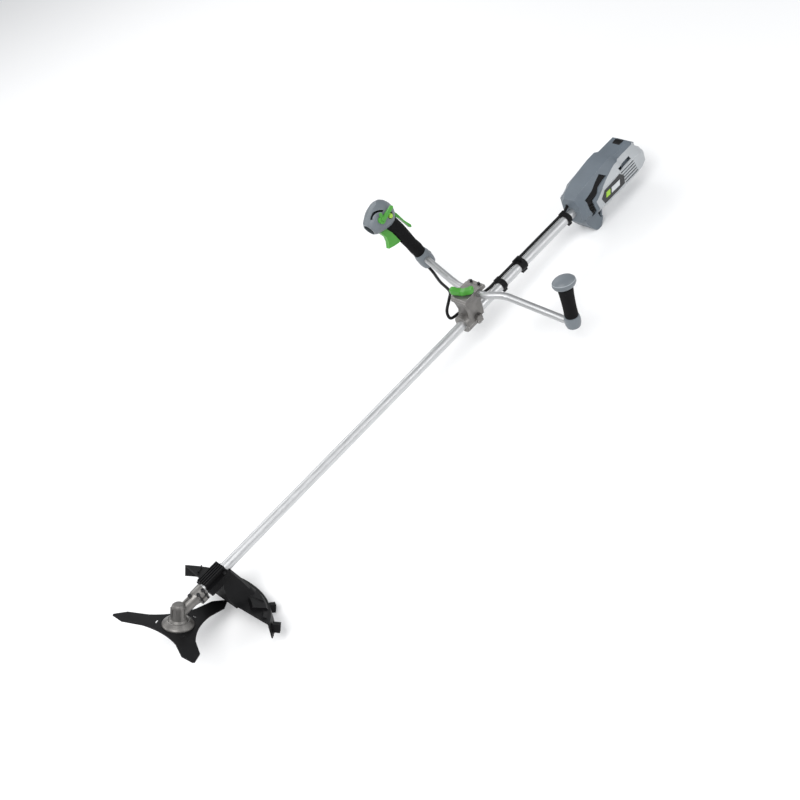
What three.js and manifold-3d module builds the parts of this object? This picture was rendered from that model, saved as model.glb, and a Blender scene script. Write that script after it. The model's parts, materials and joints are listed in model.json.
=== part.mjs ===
// Battery brush cutter with a three-arm metal blade, a long tube and a bike handle.
// Units are millimetres.  The machine is built along its own tube and then laid down
// on the floor: +X runs from the blade to the power head, +Y is the user's right, +Z is up.
import * as THREE from 'three';
import { mergeVertices } from 'three/addons/utils/BufferGeometryUtils.js';
import Module from 'manifold-3d';

const wasm = await Module();
wasm.setup();

// ---------------------------------------------------------------- driving sizes
const GAP = 0.3;                       // clearance between neighbouring pieces
const TUBE_RADIUS = 12.5;
const TUBE_WALL = 1.5;
const TUBE_START = 54;                 // tube front end, measured from the gear centre
const TUBE_END = 1503;
const DRIVE_RADIUS = 4;
const BLADE_TILT = 33;                 // degrees between the tube and the blade plane
const BLADE_RADIUS = 152.5;
const BLADE_THICKNESS = 2.6;
const BLADE_DROP = 27;                 // gear centre down to the middle of the blade
const BAR_RADIUS = 9.5;
const BAR_X = 1069;                    // where the handlebar crosses the tube
const BAR_Z = 61;
const CLAMP_X = 1040;
const HEAD_X = 1462;                   // front face of the power head
const CABLE_RADIUS = 4;

const RAD = Math.PI / 180;

// ---------------------------------------------------------------- how it lies
// Laid down, the machine rests on the guard's rear rim and on the power head's foot.
const RIM_RADIUS = 218;
const SKIRT_BOTTOM = -25;              // in the blade frame
const FOOT_FRONT = 45;                 // front end of the foot's flat sole, from HEAD_X
const FOOT_LENGTH = 14;
const FOOT_DEPTH = 86;
function layingAngle() {
  const tilt = BLADE_TILT * RAD;
  const rimX = RIM_RADIUS * Math.cos(tilt) + SKIRT_BOTTOM * Math.sin(tilt);
  const rimZ = SKIRT_BOTTOM * Math.cos(tilt) - RIM_RADIUS * Math.sin(tilt);
  return Math.atan2(-FOOT_DEPTH - rimZ, HEAD_X + FOOT_FRONT - rimX);
}

// ---------------------------------------------------------------- materials
function paint(color, roughness, metalness = 0) {
  return new THREE.MeshStandardMaterial({ color, roughness, metalness });
}
const BLACK_PLASTIC = () => paint(0x1b1c1e, 0.6);
const BLACK_RUBBER = () => paint(0x17181a, 0.85);
const GREY_PLASTIC = () => paint(0x7d858b, 0.55);
const SLATE_PLASTIC = () => paint(0x565e66, 0.5);
const SILVER_PLASTIC = () => paint(0xa9aeb2, 0.45);
const GREEN_PLASTIC = () => paint(0x5cb531, 0.45);
const LIME_PLASTIC = () => paint(0x9fc32a, 0.45);
const BARE_ALUMINIUM = () => paint(0xc9cbcc, 0.3, 1);
const CAST_METAL = () => paint(0x8c8d8c, 0.5, 1);
const STEEL = () => paint(0xa8a9aa, 0.35, 1);
const BLACK_STEEL = () => paint(0x222325, 0.45, 0.6);
const COPPER = () => paint(0xb06a3a, 0.4, 1);
const BOARD_GREEN = () => paint(0x1f5a3a, 0.5);

// ---------------------------------------------------------------- solids
// six times the volume inside a triangle mesh; negative when its faces point inwards
function signedVolume(position, index) {
  const [a, b, c] = [new THREE.Vector3(), new THREE.Vector3(), new THREE.Vector3()];
  let volume = 0;
  for (let i = 0; i < index.length; i += 3) {
    a.fromBufferAttribute(position, index[i]);
    b.fromBufferAttribute(position, index[i + 1]);
    c.fromBufferAttribute(position, index[i + 2]);
    volume += a.dot(b.cross(c));
  }
  return volume;
}

function toSolid(geometry) {
  const bare = geometry.clone();
  bare.deleteAttribute('normal');
  bare.deleteAttribute('uv');
  const welded = mergeVertices(bare, 1e-4);
  const index = welded.index.array;
  const outward = signedVolume(welded.attributes.position, index) > 0;
  const faces = [];
  for (let i = 0; i < index.length; i += 3) {
    const [a, b, c] = [index[i], index[i + 1], index[i + 2]];
    const real = a !== b && b !== c && a !== c;
    if (real && outward) faces.push(a, b, c);
    if (real && !outward) faces.push(a, c, b);
  }
  return new wasm.Manifold(new wasm.Mesh({
    numProp: 3,
    vertProperties: new Float32Array(welded.attributes.position.array),
    triVerts: new Uint32Array(faces),
  }));
}

function toGeometry(solid) {
  const mesh = solid.asOriginal().simplify(0.02).getMesh();
  const geometry = new THREE.BufferGeometry();
  geometry.setAttribute('position', new THREE.BufferAttribute(mesh.vertProperties, 3));
  geometry.setIndex(new THREE.BufferAttribute(mesh.triVerts, 1));
  geometry.computeVertexNormals();
  return geometry;
}

function box(size, centre = [0, 0, 0]) {
  return toSolid(new THREE.BoxGeometry(...size)).translate(centre);
}

// a straight round bar, centred, along 'x', 'y' or 'z'; the second radius tapers it
function rod(axis, radius, length, centre = [0, 0, 0], sides = 20, farRadius = radius) {
  const geometry = new THREE.CylinderGeometry(farRadius, radius, length, sides);
  if (axis === 'z') geometry.rotateX(Math.PI / 2);
  if (axis === 'x') geometry.rotateZ(-Math.PI / 2);
  return toSolid(geometry).translate(centre);
}

// a body of revolution about Z; profile points are [radius, height]
function turned(profile, sides = 26) {
  const points = profile.map(([radius, height]) => new THREE.Vector2(radius, height));
  const geometry = new THREE.LatheGeometry(points, sides);
  geometry.rotateX(Math.PI / 2);
  return toSolid(geometry);
}

function outline(points) {
  return new THREE.Shape(points.map(([x, y]) => new THREE.Vector2(x, y)));
}

// a flat plate lying in XY, its lower face at z = 0
function plate(shape, thickness, arcSteps = 12) {
  return toSolid(new THREE.ExtrudeGeometry(shape, {
    depth: thickness, bevelEnabled: false, curveSegments: arcSteps,
  }));
}

// a plate whose outline is given in (x, z) and whose thickness runs along Y
function sidePlate(points, yMin, yMax) {
  return plate(outline(points), yMax - yMin).rotate([90, 0, 0]).translate([0, yMax, 0]);
}

// a round bar or pipe that follows a curve
function sweep(curve, radius, steps, sides, bore = 0) {
  const shape = new THREE.Shape();
  shape.absarc(0, 0, radius, 0, 2 * Math.PI, false);
  if (bore > 0) {
    const hole = new THREE.Path();
    hole.absarc(0, 0, bore, 0, 2 * Math.PI, true);
    shape.holes.push(hole);
  }
  return toSolid(new THREE.ExtrudeGeometry(shape, {
    steps, curveSegments: sides / 2, extrudePath: curve, bevelEnabled: false,
  }));
}

// a route that is stepped through exactly at its own knots, so straights cost one step
class KnotRoute extends THREE.Curve {
  constructor(knots) {
    super();
    this.knots = knots;
  }

  getPoint(t, target = new THREE.Vector3()) {
    const place = t * (this.knots.length - 1);
    const i = Math.min(Math.floor(place), this.knots.length - 2);
    return target.lerpVectors(this.knots[i], this.knots[i + 1], place - i);
  }

  getPointAt(u, target) {
    return this.getPoint(u, target);
  }

  getTangentAt(u, target = new THREE.Vector3()) {
    const last = this.knots.length - 1;
    const i = Math.round(u * last);
    const before = this.knots[Math.max(i - 1, 0)];
    const after = this.knots[Math.min(i + 1, last)];
    const here = this.knots[i];
    const arriving = here.clone().sub(before).normalize();
    const leaving = after.clone().sub(here).normalize();
    return target.copy(arriving.add(leaving)).normalize();
  }
}

// straight runs whose corners are rounded by bends of the given reach
const BEND_STEPS = 4;
function bentRoute(corners, reach) {
  const knots = [corners[0]];
  for (let i = 1; i < corners.length - 1; i += 1) {
    const corner = corners[i];
    const into = corners[i - 1].clone().sub(corner).setLength(reach[i - 1]);
    const away = corners[i + 1].clone().sub(corner).setLength(reach[i - 1]);
    const bend = new THREE.QuadraticBezierCurve3(corner.clone().add(into), corner, corner.clone().add(away));
    knots.push(...bend.getPoints(BEND_STEPS));
  }
  knots.push(corners[corners.length - 1]);
  return new KnotRoute(knots);
}

// a closed skin through rings that all have the same number of points
function loft(rings) {
  const count = rings[0].length;
  const positions = rings.flat().flat();
  const faces = [];
  for (let r = 0; r + 1 < rings.length; r += 1) {
    for (let i = 0; i < count; i += 1) {
      const j = (i + 1) % count;
      const [a, b, c, d] = [r * count + i, r * count + j, (r + 1) * count + j, (r + 1) * count + i];
      faces.push(a, b, c, a, c, d);
    }
  }
  const last = (rings.length - 1) * count;
  for (let i = 1; i + 1 < count; i += 1) {
    faces.push(0, i + 1, i);
    faces.push(last, last + i, last + i + 1);
  }
  const geometry = new THREE.BufferGeometry();
  geometry.setAttribute('position', new THREE.Float32BufferAttribute(positions, 3));
  geometry.setIndex(faces);
  return toSolid(geometry);
}

function unite(solids) {
  return solids.reduce((whole, piece) => whole.add(piece));
}

function around(count, make) {
  return Array.from({ length: count }, (_, i) => make(i * 360 / count, i));
}

// ---------------------------------------------------------------- scene frames
const machine = new THREE.Group();
machine.name = 'brush_cutter';
const along = new THREE.Group();            // the tube's own frame, origin at the gear centre
along.name = 'tube_frame';
machine.add(along);

function frameAt(name, position, parent = along) {
  const group = new THREE.Group();
  group.name = name;
  group.position.set(...position);
  parent.add(group);
  return group;
}

const bladeFrame = frameAt('blade_frame', [0, 0, 0]);
bladeFrame.rotation.y = BLADE_TILT * RAD;
const barFrame = frameAt('bar_frame', [BAR_X, 0, BAR_Z]);
const clampFrame = frameAt('clamp_frame', [CLAMP_X, 0, 0]);
const headFrame = frameAt('power_head_frame', [HEAD_X, 0, 0]);

function place(name, solid, material, parent = along) {
  const mesh = new THREE.Mesh(toGeometry(solid), material);
  mesh.name = name;
  parent.add(mesh);
  return mesh;
}

// ---------------------------------------------------------------- bevel gears
const PINION_TEETH = 12;
const GEAR_TEETH = 16;
const SHAFT_ANGLE = (90 - BLADE_TILT) * RAD;
const PINION_CONE = Math.atan2(Math.sin(SHAFT_ANGLE), GEAR_TEETH / PINION_TEETH + Math.cos(SHAFT_ANGLE));
const GEAR_CONE = SHAFT_ANGLE - PINION_CONE;
const CONE_HEEL = 21.5;
const CONE_TOE = 15;

// one straight bevel gear about +Z with its cone apex at the origin
function bevelGear(teeth, coneAngle, firstTooth, hubLength, bore) {
  const module = 2 * CONE_HEEL * Math.sin(coneAngle) / teeth;
  const onCone = (distance, lift) => [
    distance * Math.sin(coneAngle) + lift * Math.cos(coneAngle),
    distance * Math.cos(coneAngle) - lift * Math.sin(coneAngle),
  ];
  const rootLift = (distance) => -1.1 * module * distance / CONE_HEEL;
  const tipLift = (distance) => 0.75 * module * distance / CONE_HEEL;
  const toe = onCone(CONE_TOE, rootLift(CONE_TOE));
  const heel = onCone(CONE_HEEL, rootLift(CONE_HEEL));
  const back = heel[1] + hubLength;
  const body = turned([[0, toe[1]], toe, heel, [heel[0] * 0.8, back], [0, back]], teeth * 2);
  const tooth = new THREE.BoxGeometry(1, 1, 1);
  const corner = tooth.attributes.position;
  for (let i = 0; i < corner.count; i += 1) {
    const distance = corner.getX(i) > 0 ? CONE_HEEL : CONE_TOE;
    const atTip = corner.getZ(i) > 0;
    const lift = atTip ? tipLift(distance) : rootLift(distance) - 0.4;
    const pitch = Math.PI * module * distance / CONE_HEEL;
    const halfWidth = pitch * (atTip ? 0.1 : 0.27);
    const [radius, height] = onCone(distance, lift);
    corner.setXYZ(i, radius, Math.sign(corner.getY(i)) * halfWidth, height);
  }
  const wedge = toSolid(tooth);
  const crown = around(teeth, (angle) => wedge.rotate([0, 0, angle + firstTooth * 360 / teeth]));
  return unite([body, ...crown]).subtract(rod('z', bore, 80, [0, 0, 20], 20));
}

// ---------------------------------------------------------------- cutting head
const OUTPUT_RADIUS = 5;
const FLANGE_RADIUS = 37;
const BLADE_BORE = 12.7;
const HOUSING_FLOOR = -18.5;            // underside of the gear housing in the blade frame
const BLADE_PHASE = 8;                  // where the arms stopped, in degrees

const ARM = { rootAt: 76, rootHalf: 22.5, cornerAt: 125, cornerHalf: 20.5, tipHalf: 2.5, valley: 40 };

function bladeShape() {
  const shape = new THREE.Shape();
  for (let arm = 0; arm < 3; arm += 1) {
    const angle = arm * 120 * RAD;
    const onArm = (distance, side) => [
      distance * Math.cos(angle) - side * Math.sin(angle),
      distance * Math.sin(angle) + side * Math.cos(angle),
    ];
    if (arm === 0) shape.moveTo(...onArm(ARM.rootAt, -ARM.rootHalf));
    shape.lineTo(...onArm(ARM.cornerAt, -ARM.cornerHalf));
    shape.lineTo(...onArm(BLADE_RADIUS, -ARM.tipHalf));
    shape.lineTo(...onArm(BLADE_RADIUS, ARM.tipHalf));
    shape.lineTo(...onArm(ARM.cornerAt, ARM.cornerHalf));
    shape.lineTo(...onArm(ARM.rootAt, ARM.rootHalf));
    const valleyAngle = angle + 60 * RAD;
    const nextAngle = angle + 120 * RAD;
    const [x, y] = [ARM.rootAt, -ARM.rootHalf];
    shape.quadraticCurveTo(
      ARM.valley * Math.cos(valleyAngle), ARM.valley * Math.sin(valleyAngle),
      x * Math.cos(nextAngle) - y * Math.sin(nextAngle), x * Math.sin(nextAngle) + y * Math.cos(nextAngle),
    );
  }
  return shape;
}

function buildBlade() {
  const shape = bladeShape();
  const bore = new THREE.Path();
  bore.absarc(0, 0, BLADE_BORE + GAP, 0, 2 * Math.PI, true);
  shape.holes.push(bore);
  const slotAt = 50;
  for (let arm = 0; arm < 3; arm += 1) {
    const slot = new THREE.Path();
    const angle = arm * 120 * RAD;
    slot.absellipse(slotAt * Math.cos(angle), slotAt * Math.sin(angle), 1.8, 8, 0, 2 * Math.PI, true, angle);
    shape.holes.push(slot);
  }
  const blade = plate(shape, BLADE_THICKNESS, 8).rotate([0, 0, BLADE_PHASE]);
  place('blade', blade.translate([0, 0, -BLADE_DROP - BLADE_THICKNESS / 2]), BLACK_STEEL(), bladeFrame);
}

function buildOutputStack() {
  const bladeTop = -BLADE_DROP + BLADE_THICKNESS / 2 + GAP;
  const bladeBottom = -BLADE_DROP - BLADE_THICKNESS / 2 - GAP;
  const upper = turned([
    [OUTPUT_RADIUS + GAP, HOUSING_FLOOR - 0.8], [23.3, HOUSING_FLOOR - 0.8], [23.3, HOUSING_FLOOR + 6],
    [24.5, HOUSING_FLOOR + 6.5], [27, HOUSING_FLOOR + 5.5], [32, HOUSING_FLOOR + 1],
    [35.5, HOUSING_FLOOR - 1.5], [FLANGE_RADIUS, HOUSING_FLOOR - 4],
    [FLANGE_RADIUS, bladeTop], [BLADE_BORE, bladeTop], [BLADE_BORE, bladeBottom + 0.8],
    [OUTPUT_RADIUS + GAP, bladeBottom + 0.8], [OUTPUT_RADIUS + GAP, HOUSING_FLOOR - 0.8],
  ], 26);
  place('blade_upper_flange', upper, CAST_METAL(), bladeFrame);
  const cup = turned([
    [OUTPUT_RADIUS + GAP, bladeBottom], [24, bladeBottom], [33, bladeBottom - 4], [30, bladeBottom - 11],
    [24, bladeBottom - 15], [22, bladeBottom - 15], [22, bladeBottom - 12.5], [27, bladeBottom - 9],
    [29, bladeBottom - 5], [22, bladeBottom - 3], [OUTPUT_RADIUS + GAP, bladeBottom - 3],
    [OUTPUT_RADIUS + GAP, bladeBottom],
  ], 22);
  place('rider_cup', cup, STEEL(), bladeFrame);
  const nutTop = bladeBottom - 3 - GAP;
  const nut = rod('z', 9.8, 8, [0, 0, nutTop - 5.5], 6)
    .add(rod('z', 12, 1.6, [0, 0, nutTop - 0.8], 24))
    .subtract(rod('z', OUTPUT_RADIUS + GAP, 40, [0, 0, nutTop], 20));
  place('blade_nut', nut, STEEL(), bladeFrame);
  const shaft = turned([
    [0, 24], [OUTPUT_RADIUS - 0.8, 24], [OUTPUT_RADIUS, 23], [OUTPUT_RADIUS, nutTop - 12],
    [OUTPUT_RADIUS - 1, nutTop - 13], [0, nutTop - 13],
  ], 20);
  place('output_shaft', shaft, STEEL(), bladeFrame);
  const gear = bevelGear(GEAR_TEETH, GEAR_CONE, 0.5, 2.5, OUTPUT_RADIUS + GAP);
  place('output_bevel_gear', gear, STEEL(), bladeFrame);
  const bearing = rod('z', 13, 14, [0, 0, HOUSING_FLOOR + 8.2], 28)
    .subtract(rod('z', OUTPUT_RADIUS + GAP, 20, [0, 0, HOUSING_FLOOR + 8.2], 20));
  place('output_bearing', bearing, STEEL(), bladeFrame);
}

const NECK_END = 79;
function buildGearHousing() {
  const tilted = (solid) => solid.rotate([0, BLADE_TILT, 0]);
  const dome = tilted(turned([
    [0, HOUSING_FLOOR], [21, HOUSING_FLOOR], [22.5, HOUSING_FLOOR + 2], [22.5, HOUSING_FLOOR + 6],
    [18, HOUSING_FLOOR + 10], [17, 4], [16.4, 20], [15, 25], [11.5, 28], [0, 28.8],
  ], 24).add(unite(around(10, (angle) => box([3, 2.6, 22], [16.6, 0, 9]).rotate([0, 0, angle])))));
  const neck = unite([
    rod('x', 14, 40, [26, 0, 0], 24),
    rod('x', 13.2, 16, [48, 0, 0], 28, 17.4),
    rod('x', 17.4, NECK_END - 54, [54 + (NECK_END - 54) / 2, 0, 0], 24),
  ]);
  const boltEars = unite([
    box([22, 8, 11], [66, -15, 9]),
    box([22, 8, 11], [66, -15, -9]),
    rod('z', 5.6, 6, [46, 0, 13.5], 16),
  ]);
  const rib = box([34, 3, 8], [22, 0, 14]);
  const gearRoom = tilted(turned([[0, 4], [14.2, 4], [14.2, 19], [11, 24.6], [0, 25.2]], 24));
  const bearingRoom = tilted(rod('z', 13 + GAP, 40, [0, 0, HOUSING_FLOOR + 15.6 - 20], 28));
  const shaftRoom = tilted(rod('z', 8, 40, [0, 0, -2], 24));
  const pinionRoom = rod('x', 12, 30, [24, 0, 0], 24);
  const tubeRoom = rod('x', TUBE_RADIUS + GAP, 60, [TUBE_START - 1 + 30, 0, 0], 26);
  const driveRoom = rod('x', 8.5, 40, [48, 0, 0], 20);
  const split = box([30, 14, 1.6], [67, -17, 0]);
  const boltHoles = unite([59, 73].map((x) => rod('z', 2.5 + GAP, 60, [x, -17, 0], 16)));
  const plugHole = rod('z', 3 + GAP, 20, [46, 0, 13], 16);
  const housing = unite([dome, neck, boltEars, rib])
    .subtract(unite([gearRoom, bearingRoom, shaftRoom, pinionRoom, tubeRoom, driveRoom]))
    .subtract(unite([split, boltHoles, plugHole]));
  place('gear_housing', housing, CAST_METAL());

  [59, 73].forEach((x, i) => {
    const bolt = rod('z', 2.5, 30, [x, -17, 1], 12).add(rod('z', 4.2, 5, [x, -17, 17.3], 20))
      .subtract(rod('z', 2, 6, [x, -17, 19.8], 6));
    place(`neck_bolt_${i + 1}`, bolt, BLACK_STEEL());
  });
  const plug = rod('z', 3, 7, [46, 0, 13.9], 16).add(rod('z', 4.6, 3, [46, 0, 18.1], 16))
    .subtract(rod('z', 1.8, 4, [46, 0, 19.8], 6));
  place('grease_plug', plug, BLACK_STEEL());
}

function buildPinion() {
  const gear = bevelGear(PINION_TEETH, PINION_CONE, 0, 3, 2.2).rotate([0, 90, 0]);
  const shank = rod('x', 5, 26, [34, 0, 0], 20).subtract(rod('x', 2.2, 60, [30, 0, 0], 20));
  place('input_pinion', gear.add(shank), STEEL());
  const bearing = rod('x', 11.7, 8, [34.5, 0, 0], 24).subtract(rod('x', 5 + GAP, 12, [34.5, 0, 0], 20));
  place('input_bearing', bearing, STEEL());
}

// ---------------------------------------------------------------- tube and drive shaft
const MOTOR_COUPLING = HEAD_X + 50;
function buildTube() {
  const length = TUBE_END - TUBE_START;
  const tube = rod('x', TUBE_RADIUS, length, [0, 0, 0], 28)
    .subtract(rod('x', TUBE_RADIUS - TUBE_WALL, length + 20, [0, 0, 0], 24));
  place('main_tube', tube, BARE_ALUMINIUM()).position.x = TUBE_START + length / 2;
  const shaftStart = 47.6;
  const shaftLength = MOTOR_COUPLING - shaftStart;
  const shaft = rod('x', DRIVE_RADIUS, shaftLength, [0, 0, 0], 16)
    .add(rod('x', 1.9, 14, [-shaftLength / 2 - 5, 0, 0], 12));
  place('drive_shaft', shaft, STEEL()).position.x = shaftStart + shaftLength / 2;
  const bush = rod('x', TUBE_RADIUS - TUBE_WALL - GAP, 22, [0, 0, 0], 24)
    .subtract(rod('x', DRIVE_RADIUS + GAP, 30, [0, 0, 0], 16));
  for (let i = 0; i < 3; i += 1) {
    place(`shaft_bush_${i + 1}`, bush, BLACK_RUBBER()).position.x = 200 + i * 560;
  }
}

// ---------------------------------------------------------------- guard
const GUARD_RADIUS = 207;
const GUARD_FLARE = RIM_RADIUS - GUARD_RADIUS;
const GUARD_FRONT = 130;                 // chord behind the blade axis
const GUARD_HALF_ANGLE = 51;
const ROOF_TOP = 10;                     // in the blade frame
const GUARD_WALL = 3;
const GUARD_CLAMP_X = 114;
const GUARD_CLAMP_LENGTH = 64;
const CLAMP_SPLIT = -0.4;               // level of the split between guard and its clamp

// a sector of a turned profile, between two angles about Z
function sector(profile, fromDegrees, toDegrees, steps) {
  const points = profile.map(([radius, height]) => new THREE.Vector2(radius, height));
  const rings = [];
  for (let i = 0; i <= steps; i += 1) {
    const angle = (fromDegrees + (toDegrees - fromDegrees) * i / steps) * RAD;
    rings.push(points.map(({ x, y }) => [x * Math.cos(angle), x * Math.sin(angle), y]));
  }
  return loft(rings);
}

// the hood rises from the roof to the clamp: rows of height, front, back and half width
const HOOD_ROWS = [
  [ROOF_TOP - 2, 114, 198, 64], [ROOF_TOP + 5, 112, 193, 52], [26, 108, 182, 36], [44, 104, 166, 28],
  [66, 102, 145, 24], [90, 102, 122, 22],
];
function hood(inset) {
  return loft(HOOD_ROWS.map(([z, front, back, half], i) => {
    const [a, b, h] = [front + inset, back - inset, half - inset];
    const cut = h * 0.3;
    const level = i === 0 ? z - inset : z - inset * 0.6;
    return [[a, -h, level], [b - cut, -h, level], [b, -h + cut, level], [b, h - cut, level],
      [b - cut, h, level], [a, h, level]];
  }));
}

function buildGuard() {
  const roofShape = new THREE.Shape();
  const half = GUARD_HALF_ANGLE * RAD;
  roofShape.absarc(0, 0, GUARD_RADIUS, -half, half, false);
  roofShape.lineTo(GUARD_FRONT - 12, 40);
  roofShape.lineTo(GUARD_FRONT - 12, -40);
  const roof = plate(roofShape, GUARD_WALL, 20).translate([0, 0, ROOF_TOP - GUARD_WALL]);
  const skirtProfile = [
    [GUARD_RADIUS - GUARD_WALL, ROOF_TOP], [GUARD_RADIUS, ROOF_TOP],
    [GUARD_RADIUS + GUARD_FLARE, SKIRT_BOTTOM], [GUARD_RADIUS + GUARD_FLARE - GUARD_WALL, SKIRT_BOTTOM],
  ];
  const skirt = sector(skirtProfile, -GUARD_HALF_ANGLE, GUARD_HALF_ANGLE, 20);
  const ribs = [24, 40].map((angle) => {
    const start = GUARD_FRONT / Math.cos(angle * RAD) + 4;
    const length = GUARD_RADIUS - 2 - start;
    return box([length, 3, 5], [start + length / 2, 0, ROOF_TOP + 2]).rotate([0, 0, angle]);
  });
  const terrace = new THREE.Shape();
  terrace.moveTo(GUARD_FRONT - 6, -58);
  terrace.absarc(0, 0, GUARD_RADIUS - 12, -26 * RAD, 26 * RAD, false);
  terrace.lineTo(GUARD_FRONT - 6, 58);
  const step = plate(terrace, 8, 8).translate([0, 0, ROOF_TOP - 1]);
  const facets = [[-45, -37, 184, 4], [-34, -16, 160, 7]].map(([from, to, inside, height]) => sector([
    [inside, ROOF_TOP - 1],
    [GUARD_RADIUS - 4, ROOF_TOP - 1],
    [GUARD_RADIUS - 10, ROOF_TOP + height - 2],
    [inside + 6, ROOF_TOP + height],
  ], from, to, 6));
  const bosses = [[-23, 14], [-45, 19]].map(([angle, reach]) => (
    box([reach, 13, 21], [GUARD_RADIUS + 5 + reach / 2, 0, (ROOF_TOP + SKIRT_BOTTOM) / 2 - 2])
      .rotate([0, 0, angle])
  ));
  const saddle = hood(0);
  const saddlePocket = hood(3.5);
  const tubeCut = rod('x', TUBE_RADIUS + GAP, 260, [110, 0, 0], 26).rotate([0, -BLADE_TILT, 0]);
  const above = box([260, 160, 90], [150, 0, 45 + CLAMP_SPLIT]).rotate([0, -BLADE_TILT, 0]);
  const boltHoles = unite(guardBoltPlaces().map(([x, y]) => rod('z', 2.5 + GAP, 60, [x, y, 0], 12)))
    .rotate([0, -BLADE_TILT, 0]);
  const wings = box([GUARD_CLAMP_LENGTH, 50, 12], [GUARD_CLAMP_X, 0, CLAMP_SPLIT - 6])
    .rotate([0, -BLADE_TILT, 0]);
  const shell = unite([roof, skirt, step, saddle, wings, ...ribs, ...facets, ...bosses])
    .subtract(unite([saddlePocket, tubeCut, above, boltHoles]));
  place('guard_shell', shell, BLACK_PLASTIC(), bladeFrame);
}
function guardBoltPlaces() {
  return [[90, 20], [136, -20]];
}

function buildGuardClamp() {
  const length = GUARD_CLAMP_LENGTH;
  const centre = GUARD_CLAMP_X;
  const bridge = sidePlate([[centre - length / 2, 0], [centre + length / 2, 0],
    [centre + length / 2 - 3, 16.6], [centre - length / 2 + 3, 16.6]], -16, 16);
  const lugs = box([length, 50, 7], [centre, 0, 3.5]);
  const ribs = [-13.5, -7, 0, 7, 13.5].map((y) => box([length - 3, 3, 6], [centre, y, 17]));
  const boltHoles = guardBoltPlaces().map(([x, y]) => rod('z', 2.5 + GAP, 60, [x, y, 0], 12)
    .add(rod('z', 5.2, 20, [x, y, 7 + 10], 20)));
  const clamp = unite([bridge, lugs, ...ribs])
    .subtract(unite([rod('x', TUBE_RADIUS + GAP, 100, [centre, 0, 0], 26), ...boltHoles]));
  place('guard_clamp', clamp, BLACK_PLASTIC());
  guardBoltPlaces().forEach(([x, y], i) => {
    const bolt = rod('z', 2.5, 16, [x, y, 0], 12).add(rod('z', 4.4, 4, [x, y, 7.3 + 2], 20))
      .subtract(rod('z', 2, 4, [x, y, 11.3], 6));
    place(`guard_bolt_${i + 1}`, bolt, BLACK_STEEL());
  });
}

// ---------------------------------------------------------------- handle clamp
const BAR_DX = BAR_X - CLAMP_X;          // bar position in the clamp frame
const CLAMP_HALF = 23;
const RING_RADIUS = 24.5;               // outside of the ring round the tube
const RING_LENGTH = 50;
const RING_X = -11;                     // middle of the ring, which reaches out in front
const EAR_Y = 28;                       // the band's screws, beside the tube
const KNOB_X = 0;                       // the wing knob that holds the front of the cap
const CAP_SCREW_X = 46;                 // the two screws that hold its rear
function buildHandleClamp() {
  const ring = rod('x', RING_RADIUS, RING_LENGTH, [RING_X, 0, 0], 30);
  const tubeCut = rod('x', TUBE_RADIUS + GAP, 90, [0, 0, 0], 28);
  const barCut = rod('y', BAR_RADIUS + GAP, 90, [BAR_DX, 0, BAR_Z], 32);
  const trunk = loft([
    [0.2, 24, 27], [14, 23.5, 27], [34, 21, 26], [50, 22, 31], [BAR_Z - 0.3, CLAMP_HALF, 35],
  ].map(([z, halfY, halfX]) => {
    const shift = z / BAR_Z * 12;
    const cut = 5;
    return [
      [shift - halfX, -halfY + cut, z], [shift - halfX + cut, -halfY, z], [shift + halfX - cut, -halfY, z],
      [shift + halfX, -halfY + cut, z], [shift + halfX, halfY - cut, z], [shift + halfX - cut, halfY, z],
      [shift - halfX + cut, halfY, z], [shift - halfX, halfY - cut, z],
    ];
  }));
  const ears = unite([-1, 1].map((side) => box([18, 12, 12], [0, side * 26, 6.3])
    .add(rod('z', 6, 14, [0, side * EAR_Y, 7], 16))));
  const bandHoles = unite([-1, 1].map((side) => rod('z', 2.5 + GAP, 40, [0, side * EAR_Y, 0], 16)));
  const knobHole = rod('z', 3 + GAP, 60, [KNOB_X, 0, 60], 16);
  const capHoles = unite([-1, 1].map((side) => rod('z', 2 + GAP, 40, [CAP_SCREW_X, side * 13, 62], 16)));
  const upperRing = ring.subtract(box([80, 80, 40], [RING_X, 0, -19.8]));
  const bodyHoles = unite([tubeCut, barCut, bandHoles, knobHole, capHoles]);
  const body = unite([trunk, ears, upperRing]).subtract(bodyHoles);
  place('handle_clamp_body', body, CAST_METAL(), clampFrame);

  const band = unite([
    ring,
    ...[-1, 1].map((side) => box([18, 12, 9], [0, side * 26, -4.5])),
  ]).subtract(unite([tubeCut, bandHoles, box([80, 80, 40], [RING_X, 0, 19.8])]));
  place('handle_clamp_band', band, CAST_METAL(), clampFrame);

  const cap = sidePlate([
    [-24, 8], [-20, 13], [-14, 15], [38, 15], [41, 13], [51, 13], [54, 9], [54, 0.3], [-24, 0.3],
  ], -CLAMP_HALF - 2, CLAMP_HALF + 2).translate([0, 0, BAR_Z]);
  const knobSeat = rod('z', 3 + GAP, 60, [KNOB_X, 0, 70], 16);
  place('handle_clamp_cap', cap.subtract(unite([barCut, knobSeat, capHoles])), CAST_METAL(), clampFrame);

  [-1, 1].forEach((side, i) => {
    const y = side * 13;
    const capTop = BAR_Z + 13 + GAP;
    const screw = rod('z', 2, 26, [CAP_SCREW_X, y, capTop - 12], 12)
      .add(rod('z', 3.8, 4.4, [CAP_SCREW_X, y, capTop + 2.2], 18))
      .subtract(rod('z', 1.7, 4, [CAP_SCREW_X, y, capTop + 4.6], 6));
    place(`cap_screw_${i + 1}`, screw, BLACK_STEEL(), clampFrame);
    const bandScrew = rod('z', 2.5, 20, [0, side * EAR_Y, -1], 12)
      .add(rod('z', 3.8, 4, [0, side * EAR_Y, -11.3], 18));
    place(`band_screw_${i + 1}`, bandScrew, STEEL(), clampFrame);
  });
}

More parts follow.
